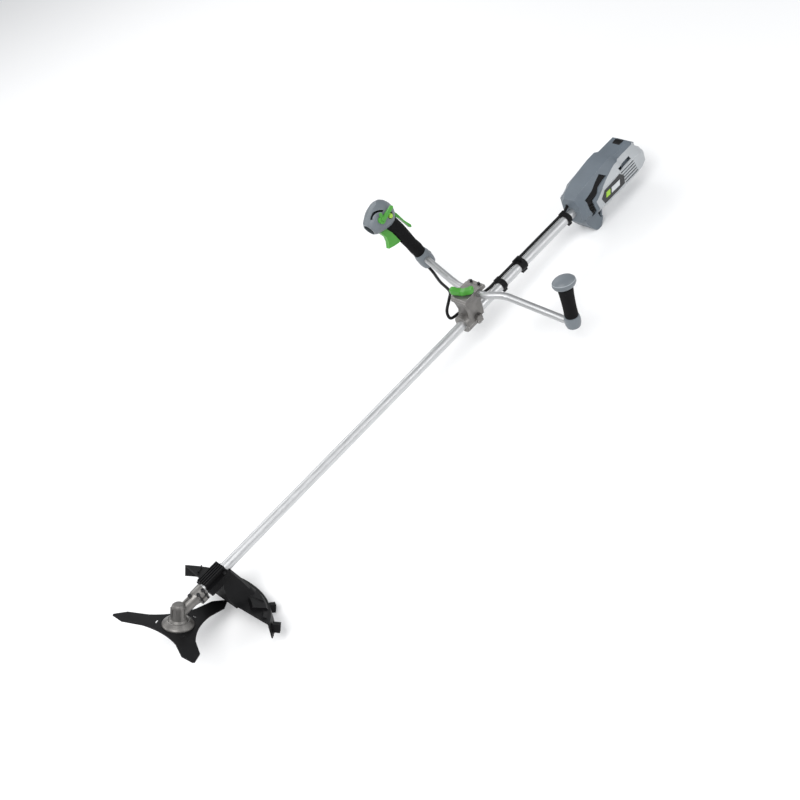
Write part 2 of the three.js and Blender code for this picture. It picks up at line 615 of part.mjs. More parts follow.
function buildWingKnob() {
  const base = BAR_Z + 15 + GAP;
  const wing = loft([
    [0, 9, 9, 0], [3, 12, 10, 0], [9, 11, 9, 0], [12, 8, 7, 0],
  ].map(([z, a, b]) => Array.from({ length: 16 }, (_, i) => {
    const angle = i / 16 * 2 * Math.PI;
    return [a * Math.cos(angle), b * Math.sin(angle), z];
  })));
  const blades = [1, -1].map((side) => loft([
    [5, 9, 1, 12], [13, 7, 1.5, 14], [21, 7.5, 3, 18], [28, 7, 5, 19], [31.5, 4, 8, 17],
  ].map(([x, halfY, zLow, zHigh]) => [
    [x, -halfY, zLow], [x, halfY, zLow], [x, halfY, zHigh], [x, -halfY, zHigh],
  ])).rotate([0, 0, side > 0 ? 0 : 180]));
  const stud = rod('z', 3, 34, [0, 0, -16], 16);
  const knob = unite([wing, ...blades, stud]).rotate([0, 0, -64]);
  place('clamp_wing_knob', knob.translate([KNOB_X, 0, base]), GREEN_PLASTIC(), clampFrame);
}

// ---------------------------------------------------------------- handlebar
// corner points of the bar's centreline, measured from where it crosses the tube
const BAR_CORNERS = [
  [62, -271, 58], [53, -271, -52], [23, -86, -3], [0, -46, 0], [0, 46, 0], [8, 80, 1], [54, 226, -10],
].map((p) => new THREE.Vector3(...p));
const BAR_BENDS = [26, 18, 12, 10, 12];
function barSweep(radius, bore = 0) {
  const route = bentRoute(BAR_CORNERS, BAR_BENDS);
  return sweep(route, radius, route.knots.length - 1, 16, bore);
}

// turns a solid built along +Z so that it follows a direction from a point
function aim(solid, from, to) {
  const turn = new THREE.Quaternion().setFromUnitVectors(
    new THREE.Vector3(0, 0, 1), to.clone().sub(from).normalize(),
  );
  const matrix = new THREE.Matrix4().compose(from, turn, new THREE.Vector3(1, 1, 1));
  return solid.transform(matrix.elements);
}

function buildHandlebar() {
  place('handlebar_tube', barSweep(BAR_RADIUS, BAR_RADIUS - 1.6), BARE_ALUMINIUM(), barFrame);
}

function buildLeftGrip() {
  const [top, bottom] = [BAR_CORNERS[0], BAR_CORNERS[1]];
  const up = top.clone().sub(bottom).normalize();
  const start = bottom.clone();
  const end = start.clone().add(up);
  const sleeve = turned([
    [BAR_RADIUS + 0.6, 24], [16.4, 24], [17.2, 30], [16.6, 52], [17.6, 84], [19.2, 104], [19.4, 112],
    [BAR_RADIUS + 0.6, 112], [BAR_RADIUS + 0.6, 24],
  ], 24);
  place('left_grip_sleeve', aim(sleeve, start, end), BLACK_RUBBER(), barFrame);
  const dome = turned([
    [0, 112.3], [21, 112.3], [27.5, 117], [30.5, 124], [29.5, 131], [24, 136.5], [13, 140], [0, 141],
  ], 28).scale([1, 0.8, 1]).rotate([0, 0, -26]);
  place('left_grip_cap', aim(dome, start, end), GREY_PLASTIC(), barFrame);
  const elbow = turned([
    [0, -12], [11, -12], [17.5, -7], [20, 2], [20.5, 12], [19.5, 20], [18, 23.7], [0, 23.7],
  ], 28);
  const elbowOnBar = aim(elbow, start, end).subtract(barSweep(BAR_RADIUS + GAP));
  place('left_grip_elbow', elbowOnBar, GREY_PLASTIC(), barFrame);
}

// ---------------------------------------------------------------- throttle handle
// its own frame stands on the right bar end with +Z up the grip and +X to the rear
const GRIP_TOP = 158;                     // top of the rubber sleeve
const LEVER_X = -28;
const LEVER_Z = GRIP_TOP + 42;
const LEVER_RADIUS = 9.5;
const BUTTON_X = -2;
const BUTTON_Z = GRIP_TOP + 26;
const TRIGGER_PIVOT = [-24, GRIP_TOP + 16];
const LOCK_PIVOT = [14, GRIP_TOP + 11];
const GRIP_LEAN = -14;                    // degrees the grip leans towards the blade
const GRIP_SPREAD = -9;                   // and the degrees it leans outwards
const gripFrame = frameAt('right_grip_frame', BAR_CORNERS[6].toArray(), barFrame);
gripFrame.rotation.set(GRIP_SPREAD * RAD, GRIP_LEAN * RAD, 0);

function ovalRing(cx, cy, cz, halfX, halfY, count = 20) {
  return Array.from({ length: count }, (_, i) => {
    const angle = i / count * 2 * Math.PI;
    return [cx + halfX * Math.cos(angle), cy + halfY * Math.sin(angle), cz];
  });
}

// the room the bar needs, seen from the throttle handle's own frame
function barRoomInGrip() {
  const matrix = new THREE.Matrix4().compose(
    gripFrame.position, new THREE.Quaternion().setFromEuler(gripFrame.rotation), new THREE.Vector3(1, 1, 1),
  ).invert();
  return barSweep(BAR_RADIUS + GAP).transform(matrix.elements);
}

// rings of the control head above the sleeve: height, middle, half length, half width
const HEAD_RINGS = [
  [0, -6, 22, 17.5], [6, -10, 31, 22], [14, -15, 42, 26.5], [26, -19, 49, 29],
  [40, -21, 50, 29], [54, -19, 43, 26], [64, -14, 31, 20], [71, -9, 15, 10],
];
function controlHead(inset) {
  return loft(HEAD_RINGS.map(([z, cx, halfX, halfY], i) => {
    const lift = i === 0 ? inset : (i === HEAD_RINGS.length - 1 ? -inset : 0);
    return ovalRing(cx, 0, GRIP_TOP + z + lift, halfX - inset, halfY - inset, 20);
  }));
}

const COLLAR_BOTTOM = -29;
// turns the collar's screw to its place, at the rear on the side that faces the other grip
function acrossCollar(solid) {
  return solid.rotate([0, 0, -22]).translate([0, 0, -1]);
}

function buildThrottleHandle() {
  const collar = loft([
    ovalRing(0, 0, COLLAR_BOTTOM, 14, 14), ovalRing(0, 0, COLLAR_BOTTOM + 4, 19, 19),
    ovalRing(0, 0, -12, 21.5, 21.5), ovalRing(0, 0, 10, 21, 21), ovalRing(0, 0, 21, 18.5, 17.5),
  ]);
  const cableRoom = rod('z', CABLE_RADIUS + GAP, 30, [-8, 6, COLLAR_BOTTOM + 8], 12);
  const screwRoom = acrossCollar(rod('x', 3.6 + GAP, 20, [22, 0, 0], 16));
  place('right_collar', collar.subtract(unite([barRoomInGrip(), cableRoom, screwRoom])),
    GREY_PLASTIC(), gripFrame);
  const collarScrew = rod('x', 3.6, 9, [17.5, 0, 0], 16).subtract(rod('x', 1.6, 4, [22, 0, 0], 6));
  place('collar_screw', acrossCollar(collarScrew), BLACK_STEEL(), gripFrame);

  const sleeve = loft([
    ovalRing(0, 0, 21.3, 17, 16.5), ovalRing(0, 0, 40, 18.5, 16.5), ovalRing(-1, 0, 62, 17, 15.5),
    ovalRing(-1, 0, 92, 18.5, 16.5), ovalRing(-1, 0, 122, 19, 17),
    ovalRing(-6, 0, GRIP_TOP - GAP, 22, 17.5),
  ]);
  const core = rod('z', 8, 200, [-2, 0, 80], 16);
  const seam = box([0.8, 60, 70], [6, 41, 70]);
  const triggerRoom = box([30, 12.6, 76], [-20, 0, 125]);
  const lockRoom = box([28, 11, 76], [23, 0, 128]);
  const grippy = sleeve.subtract(unite([core, seam, triggerRoom, lockRoom]));
  place('right_grip_sleeve', grippy, BLACK_RUBBER(), gripFrame);

  const shell = controlHead(0).subtract(controlHead(2.6))
    .subtract(rod('z', 8, 20, [-2, 0, GRIP_TOP + 2], 16));
  const triggerSlot = box([34, 12.6, 34], [-32, 0, GRIP_TOP + 6]);
  const lockSlot = box([34, 11, 50], [25, 0, GRIP_TOP - 2]);
  const shaped = shell.subtract(unite([triggerSlot, lockSlot]));
  const leverHole = rod('y', LEVER_RADIUS + 0.4, 24, [LEVER_X, -26, LEVER_Z], 24);
  const arcSlot = rod('y', 25, 24, [LEVER_X, -24, LEVER_Z], 32)
    .subtract(rod('y', 20, 30, [LEVER_X, -24, LEVER_Z], 32))
    .intersect(sidePlate([[LEVER_X, LEVER_Z], [LEVER_X - 22, LEVER_Z + 26], [LEVER_X + 10, LEVER_Z + 50],
      [LEVER_X + 50, LEVER_Z + 20]], -60, 0));
  const buttonHole = rod('y', 9.8, 24, [BUTTON_X + 1.5, -24, BUTTON_Z], 24);
  const inner = shaped.intersect(box([120, 60, 120], [0, -30 - GAP / 2, GRIP_TOP + 37]))
    .subtract(unite([leverHole, arcSlot, buttonHole]));
  place('control_head_inner', inner, GREY_PLASTIC(), gripFrame);
  place('control_head_outer', shaped.intersect(box([120, 60, 120], [0, 30 + GAP / 2, GRIP_TOP + 37])),
    GREY_PLASTIC(), gripFrame);
}

function buildControls() {
  const trigger = sidePlate([
    [-17, 22], [-44, 14], [-45, 0], [-42, -16], [-47, -30], [-58, -44], [-42, -53], [-26, -60],
    [-20, -60], [-21, -28], [-19, 2],
  ], -6, 6).translate([0, 0, GRIP_TOP]);
  const pin = rod('y', 2.5, 16, [TRIGGER_PIVOT[0], 0, TRIGGER_PIVOT[1]], 16);
  place('trigger', trigger.add(pin), GREEN_PLASTIC(), gripFrame);

  const lock = sidePlate([
    [10.5, 16], [21, 15], [25, -4], [27, -34], [33, -60], [30, -65], [26, -63], [23, -38], [20.5, -16],
    [10.5, 4],
  ], -5, 5).translate([0, 0, GRIP_TOP]).add(rod('y', 2.5, 14, [LOCK_PIVOT[0], 0, LOCK_PIVOT[1]], 16));
  place('lock_off_lever', lock, GREEN_PLASTIC(), gripFrame);

  const boss = rod('y', LEVER_RADIUS, 10, [LEVER_X, -29, LEVER_Z], 24);
  const arm = sidePlate([
    [LEVER_X - 2, LEVER_Z + 6], [LEVER_X, LEVER_Z - 6], [LEVER_X + 43, LEVER_Z - 3],
    [LEVER_X + 46, LEVER_Z + 1], [LEVER_X + 43, LEVER_Z + 6],
  ], -36, -30.6);
  const pointer = sidePlate([
    [LEVER_X - 5, LEVER_Z], [LEVER_X + 5, LEVER_Z], [LEVER_X + 11, LEVER_Z + 17],
    [LEVER_X + 5, LEVER_Z + 19],
  ], -35, -30.6);
  const stem = rod('y', 4, 14, [LEVER_X, -20, LEVER_Z], 16);
  place('speed_lever', unite([boss, arm, pointer, stem]), GREEN_PLASTIC(), gripFrame);

  const button = rod('y', 6, 9, [BUTTON_X, -25.5, BUTTON_Z], 20)
    .add(rod('y', 6.8, 2, [BUTTON_X, -23, BUTTON_Z], 20));
  place('power_button', button, LIME_PLASTIC(), gripFrame);
  const microswitch = box([16, 9, 12], [-4, 0, GRIP_TOP + 44]).add(box([4, 5, 3], [-6, 0, GRIP_TOP + 37]));
  place('trigger_switch', microswitch, BLACK_PLASTIC(), gripFrame);
}

// ---------------------------------------------------------------- cable and clips
const FRONT_CLIP_X = 1162;
const HANGING_X = 1242;
const REAR_CLIP_X = HEAD_X - 27;
const CABLE_SIDE = [10.9, 13];           // where the cable lies beside the tube (y, z)
const CABLE_PORT = [14, 17];               // where the cable enters the power head (y, z)
function cableRoute() {
  const collarExit = new THREE.Vector3(-8, 6, COLLAR_BOTTOM - 1.4).applyEuler(gripFrame.rotation)
    .add(gripFrame.position).add(barFrame.position);
  return new THREE.CatmullRomCurve3([
    collarExit,
    collarExit.clone().add(new THREE.Vector3(2, -8, -16)),
    new THREE.Vector3(1090, 150, 18),
    new THREE.Vector3(1062, 84, 32),
    new THREE.Vector3(1030, 52, 46),
    new THREE.Vector3(1003, 42, 30),
    new THREE.Vector3(1004, 40, 7),
    new THREE.Vector3(1038, 39, -1),
    new THREE.Vector3(1082, 29, 7),
    new THREE.Vector3(1108, 15, 13),
    new THREE.Vector3(1130, ...CABLE_SIDE),
    new THREE.Vector3(1150, ...CABLE_SIDE),
    new THREE.Vector3(1290, ...CABLE_SIDE),
    new THREE.Vector3(HEAD_X - 37, ...CABLE_SIDE),
    new THREE.Vector3(HEAD_X - 17, ...CABLE_SIDE),
    new THREE.Vector3(HEAD_X + 2, ...CABLE_PORT),
    new THREE.Vector3(HEAD_X + 22, ...CABLE_PORT),
  ], false, 'centripetal');
}

function buildCable() {
  place('control_cable', sweep(cableRoute(), CABLE_RADIUS, 76, 8), BLACK_RUBBER());
}

function cableBand(width, wall) {
  const [y, z] = CABLE_SIDE;
  const ring = rod('x', TUBE_RADIUS + GAP + wall, width, [0, 0, 0], 24);
  const cableRing = rod('x', CABLE_RADIUS + GAP + wall, width, [0, y, z], 18);
  const foot = box([width * 0.8, 5, 6], [0, -8, -14]);
  const rooms = unite([
    rod('x', TUBE_RADIUS + GAP, width + 8, [0, 0, 0], 24),
    rod('x', CABLE_RADIUS + GAP + 0.2, width + 8, [0, y, z], 14),
  ]);
  return unite([ring, cableRing, foot]).subtract(rooms);
}

function buildClips() {
  place('cable_clip_front', cableBand(16, 1.8), BLACK_PLASTIC()).position.x = FRONT_CLIP_X;
  place('cable_clip_rear', cableBand(16, 1.8), BLACK_PLASTIC()).position.x = REAR_CLIP_X;
  const eye = rod('x', 9, 5, [0, -3, 22], 20).add(box([5, 14, 10], [0, -2, 16]));
  const hanging = cableBand(22, 2.4).add(eye)
    .subtract(unite([rod('x', 4.5, 20, [0, -3, 24], 16), rod('x', TUBE_RADIUS + GAP, 40, [0, 0, 0], 24)]));
  place('hanging_clamp', hanging, BLACK_PLASTIC()).position.x = HANGING_X;
}

// ---------------------------------------------------------------- power head
const SKIN = 3;
// rows: x, top, half top, side top, half width, side bottom, bottom, half bottom
const HEAD_STATIONS = [
  [0, 44, 16, 24, 30, -8, -30, 20],
  [10, 53, 20, 30, 41, -10, -36, 26],
  [50, 63, 25, 36, 52, -13, -38, 31],
  [125, 73, 27, 38, 56, -14, -39, 33],
  [156, 74, 27, 38, 56, -14, -39, 33],
  [171, 66, 26, 36, 56, -14, -39, 33],
  [236, 66, 26, 34, 55, -12, -38, 33],
  [258, 46, 24, 22, 50, -6, -30, 27],
  [262, 34, 20, 16, 45, -2, -24, 23],
];
function headBody(inset) {
  const last = HEAD_STATIONS.length - 1;
  return loft(HEAD_STATIONS.map(([x, top, halfTop, sideTop, half, sideBottom, bottom, halfBottom], i) => {
    const shift = i === 0 ? inset : (i === last ? -inset : 0);
    const k = inset * 0.4;
    return [
      [halfTop - k, top - inset], [half - inset, sideTop - k], [half - inset, sideBottom + k],
      [halfBottom - k, bottom + inset], [-halfBottom + k, bottom + inset], [-half + inset, sideBottom + k],
      [-half + inset, sideTop - k], [-halfTop + k, top - inset],
    ].map(([y, z]) => [x + shift, y, z]).reverse();
  }));
}

// Side outlines in (x, z): the curved vent opening and the panel opening in the dark cover,
// the silver panel, and the black grille behind the vent.
const REAR = 300;
const VENT_OPENING = [[97, 63], [57, 50], [18, 37], [21, 5], [34, -33], [43, -28], [38, 3], [36, 25],
  [70, 43], [111, 50]];
const PANEL_OPENING = [[REAR, 57], [150, 57], [128, 53], [78, 38], [45, 15], [50, -12], [64, -60],
  [REAR, -60]];
const SIDE_PANEL = PANEL_OPENING.map(([x, z]) => [x === REAR ? x : x + 0.5, z]);
const GRILLE = [[97, 68], [52, 56], [9, 43], [13, 0], [27, -41], [50, -34], [44, 3], [42, 21],
  [74, 38], [118, 46]];
const TOP_SPLIT = 28;                     // half width of the dark top strip
function sideRegion(points, side, from = TOP_SPLIT, drop = 0) {
  const outlinePoints = points.map(([x, z]) => [x, z - drop]);
  return side < 0 ? sidePlate(outlinePoints, -90, -from) : sidePlate(outlinePoints, from, 90);
}

const BAY = { front: 178, halfWidth: 36, low: -6, high: 48 };
function bayBox(grow, rearX = REAR) {
  const length = rearX - (BAY.front - grow);
  const height = BAY.high - BAY.low + 2 * grow;
  return box([length, 2 * (BAY.halfWidth + grow), height],
    [BAY.front - grow + length / 2, 0, (BAY.high + BAY.low) / 2]);
}

function footBlock(inset) {
  const points = [[6, -26], [12, -46], [36, -81], [FOOT_FRONT, -FOOT_DEPTH],
    [FOOT_FRONT + FOOT_LENGTH, -FOOT_DEPTH + FOOT_LENGTH * Math.tan(layingAngle())],
    [71, -66], [84, -30]];
  const middle = [44, -50];
  const shrink = inset > 0 ? 0.84 : 1;
  return sidePlate(points.map(([x, z]) => [
    middle[0] + (x - middle[0]) * shrink, middle[1] + (z - middle[1]) * shrink + (inset > 0 ? 4 : 0),
  ]), -31 + inset, 31 - inset);
}

function buildPowerHead() {
  const outer = headBody(0);
  const inner = headBody(SKIN);
  const hollow = outer.subtract(inner).subtract(bayBox(0));
  const sideOpenings = [VENT_OPENING, PANEL_OPENING]
    .flatMap((opening) => [sideRegion(opening, -1), sideRegion(opening, 1)]);
  const cover = outer.add(footBlock(0)).subtract(inner).subtract(footBlock(SKIN))
    .subtract(unite(sideOpenings));
  const tray = bayBox(2.5, 250).intersect(inner)
    .intersect(box([400, 2 * BAY.halfWidth + 5, 300], [100, 0, 0]))
    .add(unite([-1, 1].map((side) => box([60, 14, 12], [BAY.front + 30, side * 18, BAY.high + 6])))
      .intersect(inner));
  const rails = unite([-1, 1].map((side) => (
    box([66, 5, 4], [BAY.front + 32, side * (BAY.halfWidth - 2.2), 4])
  )));
  const stay = box([6, 24, 36], [BAY.front + 20, 0, -22]).intersect(inner);
  const latchRoom = box([24, 24.6, 40], [226, 0, 62]);
  const holes = unite([
    rod('x', TUBE_RADIUS + GAP, 30, [0, 0, 0], 26),
    rod('x', CABLE_RADIUS + 2, 30, [0, ...CABLE_PORT], 16),
    latchRoom,
  ]);
  const topStay = box([10, 24, 40], [BAY.front + 6, 0, 60]).intersect(inner);
  const whole = unite([cover, tray, stay, topStay]).subtract(bayBox(0)).add(rails).subtract(holes);
  place('power_head_cover', whole, SLATE_PLASTIC(), headFrame);

  const slots = unite([
    box([54, 40, 8], [178, -56, 41]),
    ...Array.from({ length: 5 }, (_, i) => box([57, 40, 5], [190 - i * 2.4, -56, -8 + i * 9.4])),
  ]);
  const grilleGaps = unite(Array.from({ length: 5 }, (_, i) => box([13, 60, 3.4], [29, 0, -22 + i * 9])));
  [-1, 1].forEach((side) => {
    const name = side < 0 ? 'left' : 'right';
    const panel = hollow.intersect(sideRegion(SIDE_PANEL, side, TOP_SPLIT + GAP, GAP))
      .subtract(side < 0 ? slots : slots.translate([0, 112, 0]))
      .subtract(badgePrism(GAP, side).subtract(headBody(1.2)));
    place(`side_panel_${name}`, panel, SILVER_PLASTIC(), headFrame);
    const grille = headBody(SKIN + GAP).subtract(headBody(SKIN + 2.5))
      .intersect(sideRegion(GRILLE, side, 26))
      .subtract(grilleGaps.translate([0, side * 50, 0]));
    place(`vent_grille_${name}`, grille, BLACK_PLASTIC(), headFrame);
  });
  const badge = headBody(-0.4).subtract(headBody(0.9)).intersect(badgePrism(0, -1));
  place('badge_left', badge, BLACK_PLASTIC(), headFrame);
}

// the kite-shaped plaque let into the side panel
function badgePrism(grow, side) {
  const kite = [
    [64 - grow, 10], [81 - grow, 27 + grow], [146, 33 + grow], [160 + grow, 17],
    [157 + grow, -7 - grow], [72 - grow, -11 - grow],
  ];
  return side < 0 ? sidePlate(kite, -80, -30) : sidePlate(kite, 30, 80);
}

function buildMotor() {
  const axisX = 84;
  const stator = rod('x', 32, 44, [axisX, 0, 0], 28).subtract(rod('x', 20.5, 60, [axisX, 0, 0], 26))
    .subtract(unite(around(9, (angle) => box([60, 6, 9], [axisX, 0, 25.5]).rotate([angle, 0, 0]))));
  place('motor_stator', stator, COPPER(), headFrame);
  const rotor = unite([
    rod('x', 19.5, 40, [axisX, 0, 0], 26),
    rod('x', 5, 88, [axisX + 5, 0, 0], 16),
    rod('x', 9, 14, [57, 0, 0], 20),
    rod('x', 12, 10, [124, 0, 0], 24),
    ...around(9, (angle) => box([9, 1.6, 20], [124, 0, 19]).rotate([angle, 0, 0])),
    rod('x', 29, 1.6, [118.4, 0, 0], 26),
  ]).subtract(rod('x', DRIVE_RADIUS + GAP, 20, [MOTOR_COUPLING - HEAD_X - 9.4, 0, 0], 16));
  place('motor_rotor', rotor, STEEL(), headFrame);
  const socket = rod('x', 20, 42, [25, 0, 0], 26)
    .add(box([26, 10, 14], [24, -22, 0]))
    .subtract(rod('x', TUBE_RADIUS + GAP, 60, [TUBE_END - HEAD_X + GAP - 30, 0, 0], 26))
    .subtract(rod('x', 8, 60, [24, 0, 0], 20))
    .subtract(rod('x', CABLE_RADIUS + 1.5, 60, [24, ...CABLE_PORT], 16));
  place('tube_socket', socket, CAST_METAL(), headFrame);
  const board = box([86, 44, 3], [100, 0, 48]).add(box([60, 38, 9], [104, 0, 53]))
    .subtract(unite(Array.from({ length: 6 }, (_, i) => box([70, 2.6, 6], [104, -15 + i * 6, 56]))));
  place('controller_board', board, BOARD_GREEN(), headFrame);
  const terminals = box([12, 42, 20], [BAY.front + 6.3, 0, 26])
    .subtract(unite([-14, -5, 5, 14].map((y) => box([10, 2.6, 14], [BAY.front + 10, y, 27]))));
  place('battery_terminals', terminals, BLACK_PLASTIC(), headFrame);
  const latch = sidePlate([
    [216, 52], [236, 52], [236, 64], [231, 68.5], [222, 68.5], [216, 66],
  ], -11.5, 11.5);
  place('battery_latch', latch, BLACK_PLASTIC(), headFrame);
}

// ---------------------------------------------------------------- assembly
buildBlade();
buildOutputStack();
buildGearHousing();
buildPinion();
buildTube();
buildGuard();
buildGuardClamp();
buildHandleClamp();
buildWingKnob();
buildHandlebar();
buildLeftGrip();
buildThrottleHandle();
buildControls();
buildCable();
buildClips();
buildPowerHead();
buildMotor();

along.rotation.y = layingAngle();
machine.updateMatrixWorld(true);
const bounds = new THREE.Box3().setFromObject(machine, true);
const middle = bounds.getCenter(new THREE.Vector3());
along.position.set(-middle.x, -middle.y, -bounds.min.z);

export default machine;
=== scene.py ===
import json
import math

import bpy
from mathutils import Matrix, Vector


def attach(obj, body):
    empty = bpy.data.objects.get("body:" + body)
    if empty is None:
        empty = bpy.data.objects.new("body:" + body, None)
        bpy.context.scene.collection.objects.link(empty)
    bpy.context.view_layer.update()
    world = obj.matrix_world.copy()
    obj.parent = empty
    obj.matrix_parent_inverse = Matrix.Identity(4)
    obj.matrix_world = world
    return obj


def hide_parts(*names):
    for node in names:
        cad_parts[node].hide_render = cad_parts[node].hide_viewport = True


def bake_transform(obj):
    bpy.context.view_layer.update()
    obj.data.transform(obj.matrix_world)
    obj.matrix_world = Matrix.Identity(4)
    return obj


MM = 0.001

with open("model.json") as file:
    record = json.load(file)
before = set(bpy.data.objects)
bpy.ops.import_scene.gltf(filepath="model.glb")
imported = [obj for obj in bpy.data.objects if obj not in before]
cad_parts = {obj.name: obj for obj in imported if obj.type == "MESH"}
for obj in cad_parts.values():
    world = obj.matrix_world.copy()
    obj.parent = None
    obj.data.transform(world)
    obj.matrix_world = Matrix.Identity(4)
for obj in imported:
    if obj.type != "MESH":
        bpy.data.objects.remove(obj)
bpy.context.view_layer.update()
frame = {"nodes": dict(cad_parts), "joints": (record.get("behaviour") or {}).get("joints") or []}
nodes = frame["nodes"]
joints = {joint["name"]: joint for joint in frame["joints"]}


# ---------------------------------------------------------------- places, worked out from the joints
# Sizes are in mm. The tube's frame has its origin where the blade's axis meets the tube's: x runs along
# the tube to the rear, y to the operator's right and z up.
BAR_CENTRE = Vector((1069, 0, 61))      # the handle bar's middle, in the tube's frame
GRIP_FOOT = Vector((54, 226, -10))      # the right grip's lower end, from the bar's middle
GRIP_LEAN_SIDEWAYS = math.radians(-9)
GRIP_LEAN_FORWARD = math.radians(-14)
HEAD_X = 1462                           # the power head's front, along the tube


def axes(x, y, z, origin):
    """A frame as a 4x4 matrix, from its three directions and its origin."""
    matrix = Matrix((x, y, z)).transposed().to_4x4()
    matrix.translation = origin
    return matrix


GEAR_CENTRE = Vector(joints["blade_spin"]["pos_m"])
SIDEWAYS = Vector((0, 1, 0))
TUBE_ALONG = Vector(joints["drive_spin"]["axis"]).normalized()
TUBE_UP = TUBE_ALONG.cross(SIDEWAYS)
BLADE_UP = Vector(joints["blade_spin"]["axis"]).normalized()
TUBE = axes(TUBE_ALONG, SIDEWAYS, TUBE_UP, GEAR_CENTRE)
BAR = TUBE @ Matrix.Translation(BAR_CENTRE * MM)
GRIP_LEAN = Matrix.Rotation(GRIP_LEAN_SIDEWAYS, 4, "X") @ Matrix.Rotation(GRIP_LEAN_FORWARD, 4, "Y")
RIGHT_GRIP = BAR @ Matrix.Translation(GRIP_FOOT * MM) @ GRIP_LEAN
HEAD = TUBE @ Matrix.Translation(Vector((HEAD_X, 0, 0)) * MM)


# ---------------------------------------------------------------- materials
class Surface:
    """One procedural material: a Principled shader and the few nodes that feed it."""

    def __init__(self, name, roughness, metallic=0.0, specular=0.5):
        self.material = bpy.data.materials.new(name)
        self.material.use_nodes = True
        self.tree = self.material.node_tree
        self.shader = self.tree.nodes["Principled BSDF"]
        self.shader.inputs["Roughness"].default_value = roughness
        self.shader.inputs["Metallic"].default_value = metallic
        self.shader.inputs["Specular IOR Level"].default_value = specular

    def add(self, kind, **values):
        """A new shader node, with some of its settings."""
        node = self.tree.nodes.new(kind)
        for key, value in values.items():
            setattr(node, key, value)
        return node

    def link(self, source, target):
        self.tree.links.new(source, target)

    def place(self, stretch=(1, 1, 1), turn=0.0):
        """Coordinates on the object, in metres, stretched along its own axes."""
        coordinates = self.add("ShaderNodeTexCoord")
        mapping = self.add("ShaderNodeMapping")
        mapping.inputs["Rotation"].default_value = (0, turn, 0)
        mapping.inputs["Scale"].default_value = stretch
        self.link(coordinates.outputs["Object"], mapping.inputs["Vector"])
        return mapping.outputs["Vector"]

    def noise(self, size, detail=2.0, where=None):
        """Soft cloudy noise whose patches are about size metres across."""
        texture = self.add("ShaderNodeTexNoise")
        texture.inputs["Scale"].default_value = 1 / size
        texture.inputs["Detail"].default_value = detail
        self.link(where or self.place(), texture.inputs["Vector"])
        return texture.outputs["Fac"]

    def cells(self, size, where=None):
        """Rounded cells about size metres across, 0 at each cell's middle."""
        texture = self.add("ShaderNodeTexVoronoi")
        texture.inputs["Scale"].default_value = 1 / size
        self.link(where or self.place(), texture.inputs["Vector"])
        return texture.outputs["Distance"]

    def ramp(self, value, low, high, to_low, to_high):
        """value between low and high, as a number between to_low and to_high."""
        node = self.add("ShaderNodeMapRange")
        for name, number in zip(("From Min", "From Max", "To Min", "To Max"), (low, high, to_low, to_high)):
            node.inputs[name].default_value = number
        self.link(value, node.inputs["Value"])
        return node.outputs["Result"]

    def colour(self, value, dark, light):
        """The base colour, between dark and light as value goes from 0 to 1."""
        node = self.add("ShaderNodeMix", data_type="RGBA")
        node.inputs["A"].default_value = (*dark, 1)
        node.inputs["B"].default_value = (*light, 1)
        self.link(value, node.inputs["Factor"])
        self.link(node.outputs["Result"], self.shader.inputs["Base Color"])

    def roughness(self, value):
        self.link(value, self.shader.inputs["Roughness"])

    def bump(self, heights):
        """Small relief; heights is a list of (value, depth in metres)."""
        below = None
        for value, depth in heights:
            node = self.add("ShaderNodeBump")
            node.inputs["Strength"].default_value = 1.0
            node.inputs["Distance"].default_value = depth
            self.link(value, node.inputs["Height"])
            if below is not None:
                self.link(below, node.inputs["Normal"])
            below = node.outputs["Normal"]
        self.link(below, self.shader.inputs["Normal"])


def shade(colour, factor):
    """The colour made darker or lighter by a factor."""
    return tuple(min(1.0, channel * factor) for channel in colour)


def moulded(name, colour, roughness, grain=0.0007, relief=0.00004, variety=0.10, specular=0.4):
    """Moulded plastic: spark-eroded grain, faint clouding and slightly uneven gloss."""
    surface = Surface(name, roughness, specular=specular)
    cloud = surface.noise(0.045, 4)
    fine = surface.noise(grain, 2)
    clouding = surface.ramp(cloud, 0.3, 0.7, 0, 1)
    surface.colour(clouding, shade(colour, 1 - variety), shade(colour, 1 + variety))
    surface.roughness(surface.ramp(cloud, 0.25, 0.75, roughness - 0.05, roughness + 0.07))
    surface.bump([(cloud, relief * 3), (fine, relief)])
    return surface.material


def rubber(name, colour):
    """Soft rubber with small moulded dimples and dull, slightly dusty high spots."""
    surface = Surface(name, 0.8, specular=0.10)
    dimples = surface.cells(0.0024)
    dust = surface.noise(0.012, 5)
    surface.colour(surface.ramp(dust, 0.35, 0.75, 0, 1), shade(colour, 0.8), shade(colour, 1.5))
    surface.roughness(surface.ramp(dust, 0.3, 0.7, 0.62, 0.86))
    surface.bump([(dimples, 0.00022), (dust, 0.00006)])
    return surface.material


def drawn_aluminium(name, turn, tone):
    """Drawn tube: fine lines along its length and a soft blotchy oxide."""
    surface = Surface(name, 0.3, metallic=1.0)
    along = surface.place((14, 1300, 1300), turn)
    lines = surface.noise(1.0, 3, along)
    blotch = surface.noise(0.03, 4)
    bare = (tone, tone * 1.01, tone * 1.02)
    surface.colour(surface.ramp(lines, 0.3, 0.7, 0, 1), shade(bare, 0.85), shade(bare, 1.1))
    surface.roughness(surface.ramp(blotch, 0.3, 0.7, 0.40, 0.54))
    surface.bump([(lines, 0.00003)])
    return surface.material


